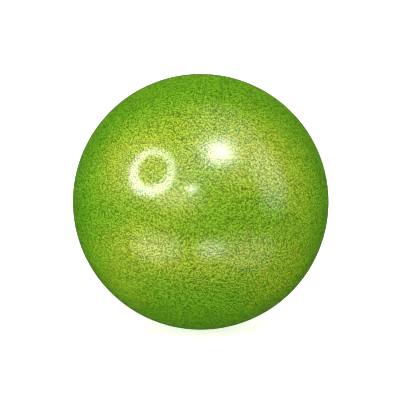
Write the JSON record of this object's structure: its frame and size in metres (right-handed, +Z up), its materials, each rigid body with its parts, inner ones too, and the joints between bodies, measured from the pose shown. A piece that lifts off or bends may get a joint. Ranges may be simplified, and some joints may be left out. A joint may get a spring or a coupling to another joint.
{
  "type": "juggling ball",
  "caption": "Hollow soft-vinyl juggling ball with a green glitter layer under a clear gloss skin, and a needle valve closed by a pull-out plug.",
  "frame": {"origin": "the ball's centre", "axes": "+Z up, +Y along the valve's axis and out of the valve, so that -Y is the plain side that faces the viewer"},
  "size_m": [0.08, 0.08, 0.08],
  "materials": {
    "clear_vinyl": "gloss",
    "glitter_vinyl": "gloss",
    "core_vinyl": "satin",
    "valve_rubber": "satin",
    "seal_rubber": "matte",
    "plug_plastic": "satin"
  },
  "bodies": {
    "ball": {"clear_skin": "clear_vinyl", "glitter_layer": "glitter_vinyl", "core_shell": "core_vinyl", "valve_body": "valve_rubber", "valve_seal": "seal_rubber"},
    "plug": {"valve_plug": "plug_plastic"}
  },
  "joints": [
    {"name": "plug_pull", "type": "slide", "parent": "ball", "child": "plug", "axis": [0, 1, 0], "range_m": [0, 0.016]}
  ]
}
